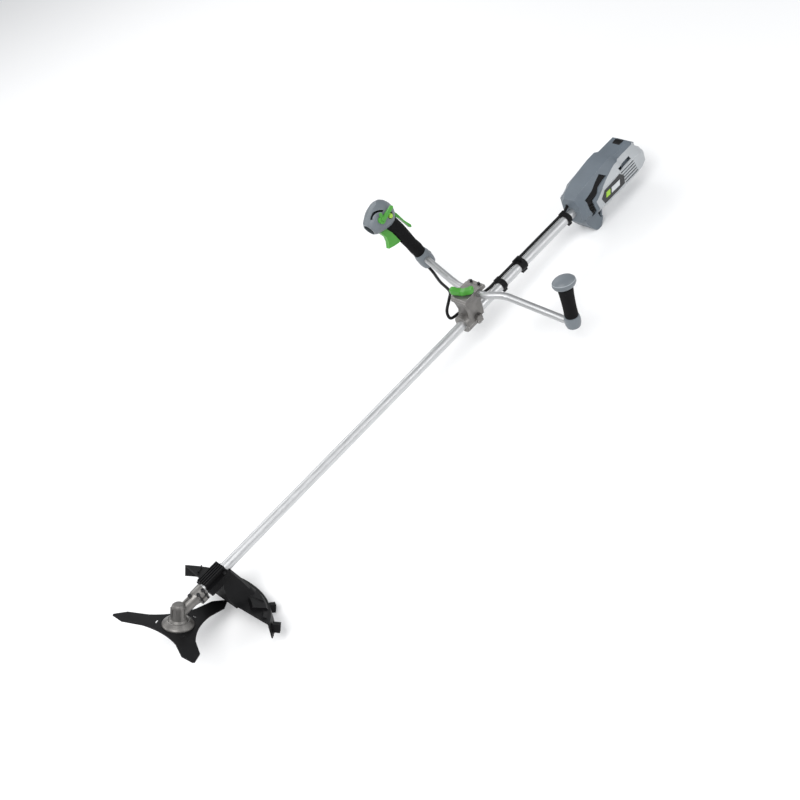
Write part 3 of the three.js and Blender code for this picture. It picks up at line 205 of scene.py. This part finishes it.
def cast(name, colour, roughness, relief=0.00016):
    """Die-cast metal: fine orange-peel skin, patchy tone and uneven dullness."""
    surface = Surface(name, roughness, metallic=0.75)
    skin = surface.noise(0.0016, 4)
    cloud = surface.noise(0.02, 4)
    surface.colour(surface.ramp(cloud, 0.3, 0.7, 0, 1), shade(colour, 0.82), shade(colour, 1.15))
    surface.roughness(surface.ramp(skin, 0.3, 0.7, roughness - 0.08, roughness + 0.1))
    surface.bump([(cloud, relief), (skin, relief * 0.6)])
    return surface.material


def machined(name, colour, roughness):
    """Turned or ground steel, with short fine scratches."""
    surface = Surface(name, roughness, metallic=1.0)
    scratches = surface.noise(1.0, 3, surface.place((300, 2600, 2600)))
    surface.colour(scratches, shade(colour, 0.8), shade(colour, 1.15))
    surface.roughness(surface.ramp(scratches, 0.3, 0.7, roughness - 0.06, roughness + 0.08))
    surface.bump([(scratches, 0.00002)])
    return surface.material


def painted_steel(name):
    """The blade's satin black paint, with rolled texture under it and a few scuffs down to grey primer."""
    surface = Surface(name, 0.38, specular=0.14)
    scuffs = surface.noise(1.0, 5, surface.place((60, 420, 420), 0.4))
    cloud = surface.noise(0.03, 3)
    surface.colour(surface.ramp(scuffs, 0.66, 0.74, 0, 1), (0.005, 0.005, 0.0055), (0.03, 0.03, 0.032))
    surface.roughness(surface.ramp(cloud, 0.3, 0.7, 0.28, 0.42))
    surface.bump([(cloud, 0.00012), (scuffs, 0.00003)])
    return surface.material


def laminated(name, colour):
    """A stack of thin iron sheets, seen from the side as fine lines across the motor."""
    surface = Surface(name, 0.45, metallic=0.8)
    lines = surface.add("ShaderNodeTexWave")
    lines.inputs["Scale"].default_value = 320
    lines.inputs["Distortion"].default_value = 0.3
    surface.link(surface.place(), lines.inputs["Vector"])
    surface.colour(lines.outputs["Fac"], shade(colour, 0.6), shade(colour, 1.2))
    surface.bump([(lines.outputs["Fac"], 0.0001)])
    return surface.material


LAYING_TURN = math.asin(-TUBE_ALONG.z)
tube_metal = drawn_aluminium("drawn_tube", LAYING_TURN, 0.60)
bar_metal = drawn_aluminium("drawn_bar", LAYING_TURN, 0.50)
cast_grey = cast("die_cast", (0.19, 0.183, 0.175), 0.40)
# die-cast edges: a lighter, glossier copy that stands for polished wear and paints a highlight along the
# edges
cast_worn_edge_highlight = cast("die_cast_edges_wear_and_painted_highlight", (0.46, 0.45, 0.435), 0.32, 0.00006)
black_plastic = moulded("black_plastic", (0.006, 0.006, 0.0065), 0.48, variety=0.3, specular=0.12)
# black plastic edges: a lighter copy that paints a highlight along the rounded edges
black_edge_highlight = moulded("black_plastic_painted_edge_highlight", (0.045, 0.045, 0.047), 0.36, variety=0.15, specular=0.3)
black_rubber = rubber("black_rubber", (0.0055, 0.0055, 0.006))
cable_rubber = moulded(
    "cable_jacket", (0.007, 0.007, 0.0075), 0.45, grain=0.0012, variety=0.15, specular=0.18
)
slate_plastic = moulded("slate_plastic", (0.118, 0.142, 0.166), 0.42, variety=0.07)
# slate plastic edges: a lighter copy that paints a highlight along the rounded edges
slate_edge_highlight = moulded("slate_plastic_painted_edge_highlight", (0.27, 0.305, 0.335), 0.32, variety=0.05)
silver_plastic = moulded("silver_plastic", (0.40, 0.42, 0.435), 0.34, variety=0.04)
# paler silver: on the side panels' rounded edges it paints a highlight, and it is also the plaque's pale bar
silver_edge_highlight_and_pale_bar = moulded("silver_plastic_painted_edge_highlight_and_pale_bar", (0.60, 0.62, 0.63), 0.28, variety=0.03)
grey_plastic = moulded("grip_grey", (0.145, 0.165, 0.182), 0.40, variety=0.07)
# grip grey edges: a lighter copy that paints a highlight along the rounded edges
grey_edge_highlight = moulded("grip_grey_painted_edge_highlight", (0.31, 0.34, 0.36), 0.32, variety=0.05)
green_plastic = moulded("green_plastic", (0.062, 0.29, 0.035), 0.32, variety=0.08)
# green plastic edges: a lighter copy that paints a highlight along the rounded edges
green_edge_highlight = moulded("green_plastic_painted_edge_highlight", (0.16, 0.50, 0.09), 0.28, variety=0.06)
lime_plastic = moulded("lime_plastic", (0.32, 0.55, 0.05), 0.32, variety=0.06)
blade_paint = painted_steel("blade_paint")
ground_steel = machined("ground_steel", (0.30, 0.30, 0.31), 0.36)
bright_steel = machined("bright_steel", (0.56, 0.56, 0.57), 0.3)
black_steel = machined("black_oxide", (0.045, 0.045, 0.047), 0.38)
copper = laminated("motor_copper", (0.58, 0.29, 0.14))
iron = laminated("motor_iron", (0.28, 0.28, 0.29))
board_green = moulded("board_green", (0.02, 0.10, 0.05), 0.4, grain=0.002)
badge_black = moulded("badge_black", (0.022, 0.023, 0.025), 0.18, variety=0.1)


# ---------------------------------------------------------------- CAD nodes kept as they are
WELD_WITHIN = 0.01 * MM
FLAT_WITHIN = math.radians(0.8)         # neighbouring faces closer than this are one flat face
SHARP_FROM = math.radians(32)           # edges sharper than this are rounded


def dress(names, material, edge=None, width=0.5, segments=2):
    """Gives CAD nodes a material, and rounds their sharp edges by width mm with a modifier. The rounded faces
    take edge: bare ground steel on the blade, and elsewhere mostly a lighter copy of the material that paints
    a highlight along the edges.
    """
    for name in names:
        piece = nodes[name]
        piece.data.materials.clear()
        piece.data.materials.append(material)
        piece.data.materials.append(edge or material)
        piece.data.polygons.foreach_set("use_smooth", [True] * len(piece.data.polygons))
        weld = piece.modifiers.new("weld", "WELD")
        weld.merge_threshold = WELD_WITHIN
        flat = piece.modifiers.new("flat", "DECIMATE")
        flat.decimate_type = "DISSOLVE"
        flat.angle_limit = FLAT_WITHIN
        bevel = piece.modifiers.new("edges", "BEVEL")
        bevel.limit_method = "ANGLE"
        bevel.angle_limit = SHARP_FROM
        bevel.width = width * MM
        bevel.segments = segments
        # the rounded faces take the second slot: a lighter copy that paints a highlight along the edges (bare
        # ground steel on the blade)
        bevel.material = 1
        bevel.harden_normals = False
        normals = piece.modifiers.new("normals", "WEIGHTED_NORMAL")
        normals.keep_sharp = False
        normals.weight = 60


dress(["main_tube"], tube_metal, width=0.4)
dress(["handlebar_tube"], bar_metal, width=0.3)
dress(["gear_housing"], cast_grey, cast_worn_edge_highlight, 0.6)
dress(["handle_clamp_body", "handle_clamp_band", "handle_clamp_cap"], cast_grey, cast_worn_edge_highlight, 0.9, 3)
dress(["tube_socket"], cast_grey, cast_worn_edge_highlight, 0.6)
dress(["blade"], blade_paint, ground_steel, 0.35)
dress(["blade_upper_flange"], cast_grey, cast_worn_edge_highlight, 0.5)
dress(["rider_cup", "output_shaft"], bright_steel, width=0.4)
dress(["blade_nut", "grease_plug", "neck_bolt_1", "neck_bolt_2"], black_steel, width=0.35)
dress(["guard_bolt_1", "guard_bolt_2", "cap_screw_1", "cap_screw_2", "collar_screw"], black_steel, width=0.35)
dress(["band_screw_1", "band_screw_2"], bright_steel, width=0.35)
dress(["guard_shell", "guard_clamp"], black_plastic, black_edge_highlight, 0.7)
dress(["hanging_clamp", "cable_clip_front", "cable_clip_rear"], black_plastic, black_edge_highlight, 0.6)
dress(["vent_grille_left", "vent_grille_right", "battery_latch"], black_plastic, black_edge_highlight, 0.5)
dress(["battery_terminals", "trigger_switch", "shaft_bush_1", "shaft_bush_2", "shaft_bush_3"], black_plastic)
dress(["left_grip_sleeve", "right_grip_sleeve"], black_rubber, width=1.2, segments=3)
dress(["left_grip_cap", "left_grip_elbow", "right_collar"], grey_plastic, grey_edge_highlight, 1.0, 3)
dress(["control_head_inner", "control_head_outer"], grey_plastic, grey_edge_highlight, 0.9, 3)
dress(["clamp_wing_knob", "trigger", "lock_off_lever", "speed_lever"], green_plastic, green_edge_highlight, 0.9, 3)
dress(["power_button"], lime_plastic, width=0.6)
dress(["power_head_cover"], slate_plastic, slate_edge_highlight, 1.1, 3)
dress(["side_panel_left", "side_panel_right"], silver_plastic, silver_edge_highlight_and_pale_bar, 0.9, 3)
dress(["badge_left"], badge_black, black_edge_highlight, 0.4)
dress(["output_bevel_gear", "input_pinion"], bright_steel, width=0.2)
dress(["output_bearing", "input_bearing", "drive_shaft"], bright_steel, width=0.2)
dress(["motor_stator"], copper)
dress(["motor_rotor"], iron)
dress(["controller_board"], board_green)


# ---------------------------------------------------------------- mesh tools
def new_piece(name, vertices, faces, material, body, smooth=True):
    """A mesh object with one material, riding on a body unless body is None."""
    mesh = bpy.data.meshes.new(name)
    mesh.from_pydata([tuple(v) for v in vertices], [], faces)
    mesh.materials.append(material)
    mesh.polygons.foreach_set("use_smooth", [smooth] * len(mesh.polygons))
    mesh.update()
    piece = bpy.data.objects.new(name, mesh)
    bpy.context.scene.collection.objects.link(piece)
    if body:
        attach(piece, body)
    return piece


def centripetal(points, per_span):
    """A smooth curve through points: a centripetal Catmull-Rom, as the CAD cable follows."""
    points = [Vector(p) for p in points]
    ends = [points[0] * 2 - points[1], *points, points[-1] * 2 - points[-2]]
    route = []
    for a, b, c, d in zip(ends, ends[1:], ends[2:], ends[3:]):
        t1 = (b - a).length ** 0.5
        t2 = t1 + (c - b).length ** 0.5
        t3 = t2 + (d - c).length ** 0.5
        for i in range(per_span):
            t = t1 + (t2 - t1) * i / per_span
            ab = a.lerp(b, t / t1)
            bc = b.lerp(c, (t - t1) / (t2 - t1))
            cd = c.lerp(d, (t - t2) / (t3 - t2))
            abc = ab.lerp(bc, t / t2)
            bcd = bc.lerp(cd, (t - t1) / (t3 - t1))
            route.append(abc.lerp(bcd, (t - t1) / (t2 - t1)))
    route.append(points[-1])
    return route


def swept(route, radius, sides):
    """Vertices and faces of a closed round tube along route."""
    vertices, faces = [], []
    side = None
    for i, centre in enumerate(route):
        ahead = (route[min(i + 1, len(route) - 1)] - route[max(i - 1, 0)]).normalized()
        if side is None:
            side = ahead.orthogonal().normalized()
        else:
            side = (side - ahead * side.dot(ahead)).normalized()
        other = ahead.cross(side)
        for k in range(sides):
            angle = 2 * math.pi * k / sides
            vertices.append(centre + (side * math.cos(angle) + other * math.sin(angle)) * radius)
    for i in range(len(route) - 1):
        for k in range(sides):
            a, b = i * sides + k, i * sides + (k + 1) % sides
            faces.append((a, b, b + sides, a + sides))
    faces.append(tuple(reversed(range(sides))))
    last = (len(route) - 1) * sides
    faces.append(tuple(range(last, last + sides)))
    return vertices, faces


# ---------------------------------------------------------------- control cable
# Sizes are in mm, in the tube's frame unless a comment names another.
CABLE_RADIUS = 4
CABLE_EXIT = Vector((-8, 6, -30.4))     # where it leaves the collar, in the right grip's frame
CABLE_HELD = (1030, 52, 46)             # beside the handle clamp, where its bending starts
CABLE_SIDE = (10.9, 13)                 # y and z beside the tube
CABLE_PORT = (14, 17)                   # y and z of its way into the power head
STEPS_PER_SPAN = 10


def build_cable():
    """The cable from the right grip's collar, round the clamp and along the tube into the power head."""
    in_grip = RIGHT_GRIP @ (CABLE_EXIT * MM)
    exit_point = (TUBE.inverted() @ in_grip) / MM
    in_tube_frame = [
        exit_point,
        exit_point + Vector((2, -8, -16)),
        (1090, 150, 18),
        (1062, 84, 32),
        CABLE_HELD,
        (1003, 42, 30),
        (1004, 40, 7),
        (1038, 39, -1),
        (1082, 29, 7),
        (1108, 15, 13),
        (1130, *CABLE_SIDE),
        (1150, *CABLE_SIDE),
        (1290, *CABLE_SIDE),
        (HEAD_X - 37, *CABLE_SIDE),
        (HEAD_X - 17, *CABLE_SIDE),
        (HEAD_X + 2, *CABLE_PORT),
        (HEAD_X + 22, *CABLE_PORT),
    ]
    route = centripetal([TUBE @ (Vector(p) * MM) for p in in_tube_frame], STEPS_PER_SPAN)
    cable = new_piece("cable_jacket", *swept(route, CABLE_RADIUS * MM, 16), cable_rubber, None)
    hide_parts("control_cable")
    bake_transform(cable)


build_cable()


# ---------------------------------------------------------------- plaque
# The plaque on the silver side panel carries two plain slanted bars, half sunk into its face.
# Sizes are in mm, in the power head's frame: x runs to the rear, y to the side, z up.
FACE_Y = -56.6                          # the plaque's flat face
FACE_BENDS_AT = 125                     # forward of this distance the face turns inward
FACE_SLOPE = 4 / 75
LIME_BAR = (80, 96)                     # where a bar starts and ends behind the head's front
PALE_BAR = (102, 136)
BAR_LOW, BAR_HIGH = 3, 18
BAR_LEAN = 4.5                          # how far a bar's top leans to the rear
BAR_DEPTHS = (0.6, -0.5)                # inner and outer side of a bar, from the face


def build_plaque_bar(name, start, end, material):
    """A thin slanted bar on the plaque, from start to end."""
    outline = [
        (start, BAR_LOW),
        (end, BAR_LOW),
        (end + BAR_LEAN, BAR_HIGH),
        (start + BAR_LEAN, BAR_HIGH),
    ]
    vertices = []
    for depth in BAR_DEPTHS:
        for x, z in outline:
            y = FACE_Y + max(0, FACE_BENDS_AT - x) * FACE_SLOPE + depth
            vertices.append(HEAD @ (Vector((x, y, z)) * MM))
    count = len(outline)
    sides = [(i, (i + 1) % count, count + (i + 1) % count, count + i) for i in range(count)]
    faces = [tuple(reversed(range(count))), tuple(range(count, 2 * count)), *sides]
    new_piece(name, vertices, faces, material, "frame", smooth=False)


build_plaque_bar("plaque_bar_lime", *LIME_BAR, lime_plastic)
# the pale bar uses the paler silver that also paints the side panels' edge highlight
build_plaque_bar("plaque_bar_pale", *PALE_BAR, silver_edge_highlight_and_pale_bar)


# ---------------------------------------------------------------- floor, light and camera
FLOOR_HALF = 12.0                       # half the floor's side, in metres
WORLD_COLOUR = (0.93, 0.95, 0.98, 1)
WORLD_STRENGTH = 0.45
EYE = Vector((-374.1, -2055.6, 2115.5))         # the camera's place in the tube's frame, in mm
EYE_BACK = Vector((-0.3536, -0.6474, 0.6752))   # away from what it looks at, in the tube's frame
EYE_UP = Vector((0.6697, 0.3287, 0.6659))       # its upward direction, in the tube's frame
SENSOR_WIDTH = 36
LENS_LENGTH = 57.92


def build_floor():
    half = FLOOR_HALF
    corners = [(-half, -half, 0), (half, -half, 0), (half, half, 0), (-half, half, 0)]
    surface = Surface("studio_floor", 0.85, specular=0.2)
    surface.colour(surface.noise(0.6, 3), (0.90, 0.90, 0.90), (0.93, 0.93, 0.93))
    floor = new_piece("floor", [Vector(c) for c in corners], [(0, 1, 2, 3)], surface.material, None)


def light_world():
    world = bpy.data.worlds.new("studio")
    world.use_nodes = True
    world.node_tree.nodes["Background"].inputs["Color"].default_value = WORLD_COLOUR
    world.node_tree.nodes["Background"].inputs["Strength"].default_value = WORLD_STRENGTH
    bpy.context.scene.world = world


def soft_box(name, place, aim, size, watts):
    """A rectangular lamp of the given size in metres, turned to shine at aim."""
    light = bpy.data.lights.new(name, "AREA")
    light.shape = "RECTANGLE"
    light.size, light.size_y = size
    light.energy = watts
    lamp = bpy.data.objects.new(name, light)
    lamp.location = place
    lamp.rotation_mode = "QUATERNION"
    lamp.rotation_quaternion = (Vector(aim) - Vector(place)).to_track_quat("-Z", "Y")
    bpy.context.scene.collection.objects.link(lamp)


def place_camera():
    turn = TUBE.to_3x3()
    back = (turn @ EYE_BACK).normalized()
    right = (turn @ EYE_UP).cross(back).normalized()
    up = back.cross(right)
    camera = bpy.data.objects.new("camera", bpy.data.cameras.new("camera"))
    camera.matrix_world = axes(right, up, back, TUBE @ (EYE * MM))
    camera.data.sensor_width = SENSOR_WIDTH
    camera.data.lens = LENS_LENGTH
    bpy.context.scene.collection.objects.link(camera)
    bpy.context.scene.camera = camera
    bpy.context.scene.view_settings.view_transform = "Standard"


build_floor()
light_world()
soft_box("key", (-1.4, -1.2, 3.0), (0, 0, 0.1), (2.2, 2.2), 92)
soft_box("fill", (1.8, -2.4, 1.8), (0, 0, 0.1), (2.0, 1.5), 28)
soft_box("back", (0.6, 2.6, 2.2), (0, 0, 0.1), (3.0, 1.0), 34)
soft_box("far_floor", (-3.4, 3.6, 2.8), (-3.0, 3.0, 0), (3.0, 3.0), 90)
place_camera()
